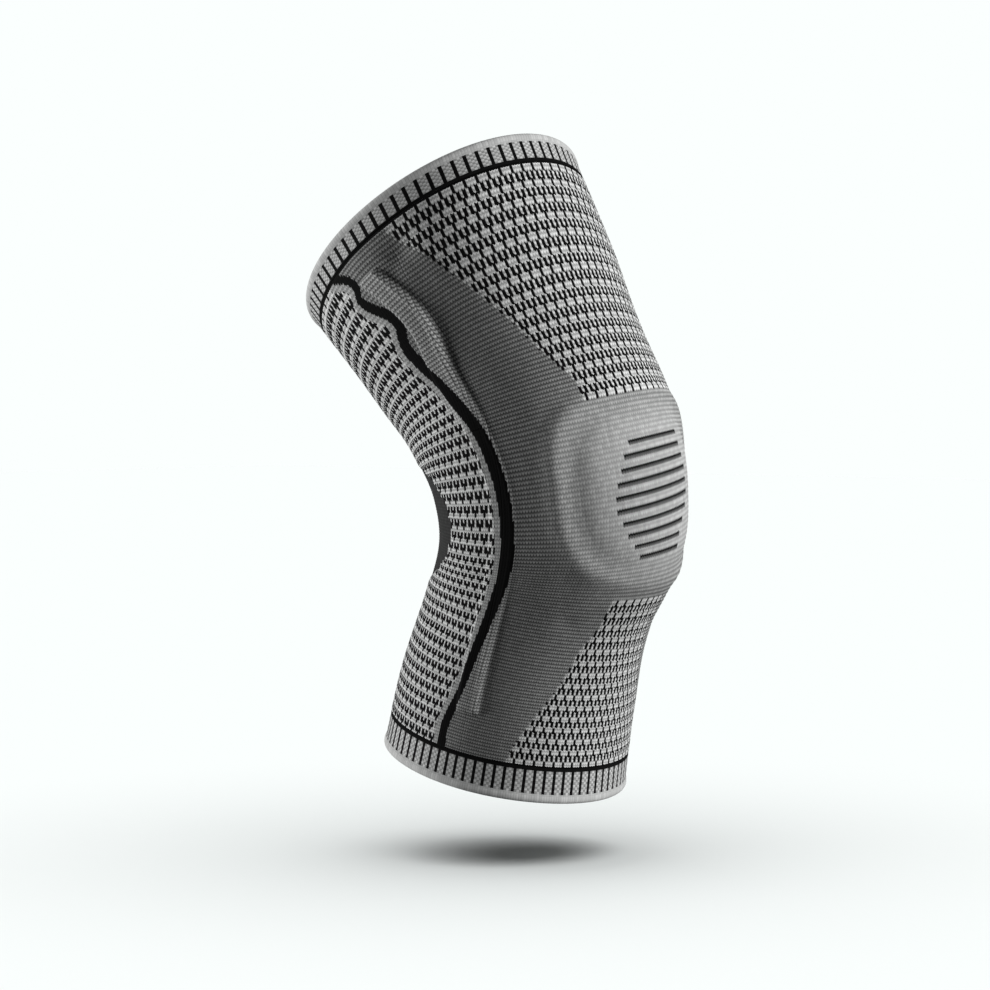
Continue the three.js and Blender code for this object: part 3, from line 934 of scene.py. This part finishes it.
def knit_yarn():
    """Polyamide yarn, light grey or black by the stitch. Gives the eye soft round loops with
    painted shade in the grooves between them, a slight mix of greys and a matt, fuzzy edge."""
    material, tree = new_material("polyamide knit")
    place = add_node(tree, "ShaderNodeUVMap", uv_map="knit")
    parts = add_node(tree, "ShaderNodeSeparateXYZ", {0: place.outputs[0]})
    wale, course = parts.outputs["X"], parts.outputs["Y"]
    height = stitch_height(tree, wale, course)
    tone = add_node(tree, "ShaderNodeAttribute", attribute_name="tone").outputs["Fac"]

    # A slightly different grey for each stitch
    column = maths(tree, "FLOOR", wale)
    row = maths(tree, "FLOOR", maths(tree, "DIVIDE", course, STITCH_COURSES))
    stitch = add_node(tree, "ShaderNodeCombineXYZ", {"X": column, "Y": row})
    noise = add_node(
        tree,
        "ShaderNodeTexWhiteNoise",
        {"Vector": stitch.outputs[0]},
        noise_dimensions="2D",
    )
    melange = maths(tree, "MULTIPLY_ADD", noise.outputs["Value"], MELANGE, 1 - MELANGE)
    # Painted shade: the colour is darkened in the grooves between the stitches, by how deep the
    # groove is and by the rise that the mesh stores for each point
    raised = maths(tree, "POWER", height, PAINTED_GROOVE_SHADE_SPREAD)
    painted_groove_shade = maths(tree, "MULTIPLY_ADD", raised, GROOVE_LIGHT_UNDER_PAINTED_SHADE - 1, 1 - GROOVE_LIGHT_UNDER_PAINTED_SHADE)
    rise = add_node(tree, "ShaderNodeAttribute", attribute_name="rise").outputs["Fac"]
    shaded = maths(tree, "SUBTRACT", 1, maths(tree, "MULTIPLY", painted_groove_shade, rise))
    shaded = maths(tree, "MULTIPLY", shaded, melange)
    colour = add_node(
        tree,
        "ShaderNodeMix",
        {"Factor": tone, "A": linear(YARN_BLACK), "B": linear(YARN_GREY)},
        data_type="RGBA",
    )
    mixed = [socket for socket in colour.outputs if socket.type == "RGBA"][0]
    dyed_and_shaded = add_node(
        tree,
        "ShaderNodeVectorMath",
        {0: mixed, "Scale": shaded},
        operation="SCALE",
    )

    # Fibres along the loops
    where = add_node(tree, "ShaderNodeTexCoord").outputs["Object"]
    fibres = add_node(
        tree,
        "ShaderNodeTexNoise",
        {"Vector": where, "Scale": 1 / (FIBRE_SIZE * MM), "Detail": 2.0},
    )
    bump = add_node(
        tree,
        "ShaderNodeBump",
        {"Height": fibres.outputs[0], "Strength": 0.5, "Distance": FIBRE_RISE * MM},
    )
    shader = add_node(
        tree,
        "ShaderNodeBsdfPrincipled",
        {
            "Base Color": dyed_and_shaded.outputs[0],
            "Roughness": 0.9,
            "Specular IOR Level": 0.04,
            "Normal": bump.outputs[0],
        },
    )
    finish_material(tree, shader)
    return material


def clear_silicone():
    """Cast silicone rubber. Gives the eye a milky, half clear pad with a soft gloss."""
    material, tree = new_material("clear silicone")
    shader = add_node(
        tree,
        "ShaderNodeBsdfPrincipled",
        {
            "Base Color": linear(SILICONE),
            "Roughness": 0.32,
            "IOR": 1.41,
            "Transmission Weight": 0.55,
            "Subsurface Weight": 0.2,
            "Subsurface Radius": (2 * MM, 2 * MM, 2 * MM),
        },
    )
    finish_material(tree, shader)
    return material


def spring_steel():
    """Cold rolled spring steel. Gives the eye a bare grey metal with a fine grain."""
    material, tree = new_material("spring steel")
    where = add_node(tree, "ShaderNodeTexCoord").outputs["Object"]
    grain = add_node(
        tree,
        "ShaderNodeTexNoise",
        {"Vector": where, "Scale": 1 / (0.5 * MM), "Detail": 3.0},
    )
    bump = add_node(
        tree,
        "ShaderNodeBump",
        {"Height": grain.outputs[0], "Strength": 0.2, "Distance": 0.02 * MM},
    )
    shader = add_node(
        tree,
        "ShaderNodeBsdfPrincipled",
        {
            "Base Color": linear(SPRING_STEEL),
            "Metallic": 1.0,
            "Roughness": 0.34,
            "Normal": bump.outputs[0],
        },
    )
    finish_material(tree, shader)
    return material


def pale_floor():
    """Matt painted board. Gives the eye an even pale ground that only takes a shadow."""
    material, tree = new_material("painted board")
    shader = add_node(
        tree,
        "ShaderNodeBsdfPrincipled",
        {
            "Base Color": [FLOOR_LIGHT * part for part in linear(STUDIO_WHITE)[:3]] + [1],
            "Roughness": 1.0,
            "Specular IOR Level": 0.0,
        },
    )
    finish_material(tree, shader)
    return material


def patterned_lift(at, angle):
    """The stitches lie flatter where the motifs' second yarn fills the knit out."""
    angle = from_front(angle)
    inside = np.maximum(
        (at < KNEE_START) * ease((curve(THIGH_PANEL, at) - angle) / PANEL_EDGE_SPAN),
        (at > KNEE_END) * ease((curve(SHIN_PANEL, at) - angle) / PANEL_EDGE_SPAN),
    )
    behind = ease((angle - curve(BAND, at, BAND_ANGLE)) / PANEL_EDGE_SPAN)
    return 1 - PATTERN_FLATNESS * np.maximum(inside, behind)


def body_grids(course_start, courses, wale_start, wales, inset=0.0, wall=None):
    """Outer and inner places of part of the body, with its courses and wales."""
    rows = course_start + np.arange(courses + 1)
    columns = wale_start + np.arange(wales * STITCH_COLUMNS + 1) / STITCH_COLUMNS
    course, wale = np.meshgrid(rows, columns, indexing="ij")
    outer = skin(*body_places(course, wale), inset)
    block = (slice(None, None, BLOCK), slice(None, None, BLOCK * STITCH_COLUMNS))
    course, wale = course[block], wale[block]
    at, angle = body_places(course, wale)
    if wall is None:
        inner = skin(at, angle, pocket_inset(at, angle), inner_relief)
    else:
        inner = skin(at, angle, wall)
    return outer, inner, rows, columns


def pocket_inset(at, angle):
    """The inside of the knit, which bulges inwards to hold a stay."""
    top = ease((CHANNEL_WIDTH / 2 - np.abs(across_stay(at, angle))) / CHANNEL_EDGE)
    floor = STAY_BOTTOM - CHANNEL_RISE * curve(STAY_ROUTE, at, STAY_RISE)
    return KNIT_WALL + np.maximum(floor - KNIT_WALL, 0) * top * along_stay(at)


def length_of(course_start, courses):
    """How long a run of courses is down the leg, in millimetres."""
    first, last = curve(COURSE_MARKS, np.array([course_start, course_start + courses]))
    return float(last - first) * SLEEVE_LENGTH


def declare(piece, node):
    """Hangs a piece of knit from the root and hides the part of the model that it stands in for.
    """
    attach(piece, "root")
    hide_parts(node)


def body_meshes(chart):
    """The six pieces of the body, three round the leg in two lengths, and their cuts."""
    meshes = []
    for side, wale_start, wales in PIECE_SIDES:
        for half, course_start, courses, girth in PIECE_HALVES:
            size = (course_start, courses, wale_start, wales)
            outer, inner, rows, columns = body_grids(*size)
            tone = chart[course_start : course_start + courses]
            tone = np.roll(tone, -wale_start * STITCH_COLUMNS, axis=1)
            mask = ~in_panel(*block_centres(*size))
            name = f"{half}_{side}_knit"
            places = body_places(*np.meshgrid(rows, columns, indexing="ij"))
            lift = (1 - KNEECAP_FLATNESS * knee_stretch(*places)) * patterned_lift(*places)
            flat = (girth * wales / WALES, length_of(course_start, courses))
            mesh = knit_piece(name, outer, inner, rows, columns, tone, lift, mask)
            meshes.append((mesh, flat))
    return meshes


def panel_mesh():
    """The dark panel in the hollow behind the knee."""
    size = (PANEL_FIRST_COURSE, PANEL_COURSES, PANEL_FIRST_WALE, PANEL_WALES)
    outer, inner, rows, columns = body_grids(*size, PANEL_SINK, PANEL_SINK + PANEL_WALL)
    tone = np.full((len(rows) - 1, len(columns) - 1), PANEL_TONE)
    mask = in_panel(*block_centres(*size))
    return knit_piece("popliteal_knit", outer, inner, rows, columns, tone, PANEL_LIFT, mask)


def cuff_rows(height):
    """Rows of a cuff from the inside of its fold over the rim to its seam with the body:
    millimetres from the rim and below the outer skin, and each row's kind."""
    step = np.arange(FOLD_ROWS + 1) / FOLD_ROWS * (len(CUFF_FOLD) - 2)
    places = [(k, *row) for k, row in enumerate(CUFF_FOLD)]
    down, into, swell = (curve(places, step, column) for column in (1, 2, 3))
    down = down * CUFF_FOLD_HEIGHT
    inset = into * CUFF_WALL - swell * CUFF_FOLD_SWELL
    line = height - LINE_WIDTH / 2
    striped = down[-1] + (line - down[-1]) * np.arange(1, STRIPED_ROWS + 1) / STRIPED_ROWS
    down = np.concatenate([down, striped, [height]])
    inset = np.concatenate([inset, 0 * striped, [0]])
    return down, inset


def cuff_mesh(name, height, at_top):
    """A cuff: a rounded fold at the rim, then a band of pinstripes."""
    down, inset = cuff_rows(height)
    columns = np.arange(WALES * STITCH_COLUMNS + 1) / STITCH_COLUMNS
    angle = columns * 360 / WALES
    at = share(down) if at_top else 1 - share(down)
    outer = skin(*np.meshgrid(at, angle, indexing="ij"), inset[:, None])
    blocks = (len(down) - 1) // BLOCK
    start = CUFF_FOLD_HEIGHT + CUFF_INNER_STEP
    inner_down = start + (height - start) * np.arange(blocks + 1) / blocks
    inner_at = share(inner_down) if at_top else 1 - share(inner_down)
    inner_angle = angle[:: BLOCK * STITCH_COLUMNS]
    inner = skin(*np.meshgrid(inner_at, inner_angle, indexing="ij"), CUFF_WALL, inner_relief)

    # The courses are numbered on from the body's, and a fold is all one course
    courses = -(height - down) / CUFF_COURSE
    courses[:FOLD_ROWS] = FOLD_COURSE
    row, column = np.meshgrid(np.arange(len(down) - 1), np.arange(len(angle) - 1), indexing="ij")
    wale, leg = column // STITCH_COLUMNS, column % (STITCH_COLUMNS * PINSTRIPE_STEP)
    striped = (row >= FOLD_ROWS) & (leg < PINSTRIPE_LEGS)
    dotted = np.where((row + wale) % 2 == 0, CUFF_LIGHT, CUFF_DARK)
    tone = np.where(row < FOLD_ROWS, FOLD_TONE, dotted)
    tone = np.where(striped | (row == len(down) - 2), BLACK, tone)
    lift = np.where(np.arange(len(down)) < FOLD_ROWS, FOLD_LIFT, CUFF_LIFT)[:, None]
    lift = lift * (np.arange(len(down)) > 0)[:, None]
    if not at_top:
        outer, inner, tone = outer[::-1], inner[::-1], tone[::-1]
        courses, lift = COURSES - courses[::-1], lift[::-1]
    return knit_piece(name, outer, inner, courses, columns, tone, lift, closed=True)


def level(at, angle):
    """No relief."""
    return 0 * at


def ring_mesh():
    """The silicone ring on the inside of the knit, round the kneecap."""
    turn = np.arange(RING_STEPS) * 2 * np.pi / RING_STEPS
    bent = [np.sign(f) * np.abs(f) ** (2 / RING_SQUARENESS) for f in (np.sin(turn), np.cos(turn))]
    along, round_leg = bent
    rows = []
    for across, below, crown in RING_PROFILE:
        reach = 1 + across * RING_WIDTH / 2 / RING_RADIUS
        at = share(RING_DROP) + reach * share(RING_HALF_HEIGHT) * along
        angle = reach * RING_HALF_ANGLE * round_leg
        inset = RING_SEAT + below * RING_THICKNESS
        if crown:
            rows.append(skin(at, angle, inset, ring_relief))
        else:
            rows.append(skin(at, angle, inset - RING_RISE, level))
    points = np.stack(rows, axis=1)
    wide = len(rows)
    i, j = np.meshgrid(np.arange(RING_STEPS), np.arange(wide), indexing="ij")
    after, beside = (i + 1) % RING_STEPS, (j + 1) % wide
    corners = ((i, j), (i, beside), (after, beside), (after, j))
    quads = np.stack([row * wide + column for row, column in corners], axis=-1).reshape(-1, 4)
    return new_mesh("silicone_ring", points.reshape(-1, 3), [quads], np.ones(len(quads), bool))


def place_camera():
    turn, rise = math.radians(CAMERA_AZIMUTH), math.radians(CAMERA_RISE)
    back = Vector(
        (math.sin(turn) * math.cos(rise), -math.cos(turn) * math.cos(rise), math.sin(rise))
    )
    right = Vector((math.cos(turn), math.sin(turn), 0))
    up = back.cross(right)
    camera = bpy.data.objects.new("camera", bpy.data.cameras.new("camera"))
    camera.data.sensor_width = 36
    camera.data.lens = CAMERA_LENS
    camera.data.clip_start = 0.05
    camera.data.clip_end = 50
    camera.location = right * AIM_RIGHT + up * AIM_UP + back * CAMERA_DISTANCE
    camera.rotation_euler = Matrix((right, up, back)).transposed().to_euler()
    bpy.context.scene.collection.objects.link(camera)
    bpy.context.scene.camera = camera
    return right, up, back


def soft_light(name, place, size, watts, receivers):
    """A square soft box that faces the knee and lights only it."""
    lamp = bpy.data.lights.new(name, "AREA")
    lamp.size = size
    lamp.energy = watts
    obj = bpy.data.objects.new(name, lamp)
    obj.location = place
    obj.rotation_euler = Vector(place).to_track_quat("Z", "Y").to_euler()
    obj.light_linking.receiver_collection = receivers
    bpy.context.scene.collection.objects.link(obj)


def light_world():
    """A white studio to look at, which gives the object only a little light."""
    world = bpy.data.worlds.new("studio")
    bpy.context.scene.world = world
    world.use_nodes = True
    tree = world.node_tree
    tree.nodes.clear()
    white = linear(STUDIO_WHITE)
    seen = add_node(tree, "ShaderNodeBackground", {"Color": white, "Strength": 1.0})
    fill = add_node(tree, "ShaderNodeBackground", {"Color": white, "Strength": FILL})
    ray = add_node(tree, "ShaderNodeLightPath").outputs["Is Camera Ray"]
    mixed = add_node(tree, "ShaderNodeMixShader", {0: ray, 1: fill.outputs[0], 2: seen.outputs[0]})
    add_node(tree, "ShaderNodeOutputWorld", {"Surface": mixed.outputs[0]})


def place_floor(height):
    """A pale floor below the object, with its own soft light from above."""
    half = FLOOR_SIZE / 2
    ground = ((-half, -half), (half, -half), (half, half), (-half, half))
    corners = [(x, y, height) for x, y in ground]
    mesh = bpy.data.meshes.new("floor")
    mesh.from_pydata(corners, [], [(0, 1, 2, 3)])
    mesh.materials.append(pale_floor())
    floor = bpy.data.objects.new("floor", mesh)
    floor.visible_diffuse = False
    bpy.context.scene.collection.objects.link(floor)
    lit = bpy.data.collections.new("lit from above")
    lit.objects.link(floor)
    lamp = bpy.data.lights.new("top light", "SUN")
    lamp.energy = math.pi * (1 / FLOOR_LIGHT - FILL)
    lamp.angle = math.radians(TOP_LIGHT_SPREAD)
    sun = bpy.data.objects.new("top light", lamp)
    sun.light_linking.receiver_collection = lit
    bpy.context.scene.collection.objects.link(sun)
    floor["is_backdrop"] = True


right, up, back = place_camera()
bpy.context.scene.view_settings.view_transform = "Standard"

yarn = knit_yarn()
stitches = stitch_nodes()
settings = {"Stitch height": STITCH_RISE * MM, "Unevenness": UNEVENNESS, "Seed": 7, "Yarn": yarn}
chart = knit_chart()

for mesh, flat in body_meshes(chart):
    declare(raise_stitches(mesh, stitches, settings), "sleeve")

piece = raise_stitches(panel_mesh(), stitches, settings)
declare(piece, "popliteal_panel")

for name, node, height, at_top, flat in (
    ("thigh_cuff_knit", "thigh_cuff", THIGH_CUFF_HEIGHT, True, THIGH_CUFF_FLAT),
    ("calf_cuff_knit", "calf_cuff", CALF_CUFF_HEIGHT, False, CALF_CUFF_FLAT),
):
    piece = raise_stitches(cuff_mesh(name, height, at_top), stitches, settings)
    declare(piece, node)

mesh = ring_mesh()
mesh.materials.append(clear_silicone())
piece = bpy.data.objects.new(mesh.name, mesh)
bpy.context.scene.collection.objects.link(piece)
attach(piece, "root")
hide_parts("patella_gel_ring")

steel = spring_steel()
for name in ("side_stay_left", "side_stay_right"):
    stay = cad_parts[name]
    stay.data.materials.clear()
    stay.data.materials.append(steel)

light_world()
place_floor(cad_low[2] - FLOOR_DROP * MM)
brace = bpy.data.collections.new("lit by the soft boxes")
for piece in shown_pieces():
    brace.objects.link(piece)
for name, aside, above, behind, size, watts in SOFT_LIGHTS:
    soft_light(name, right * aside + up * above - back * behind, size, watts, brace)
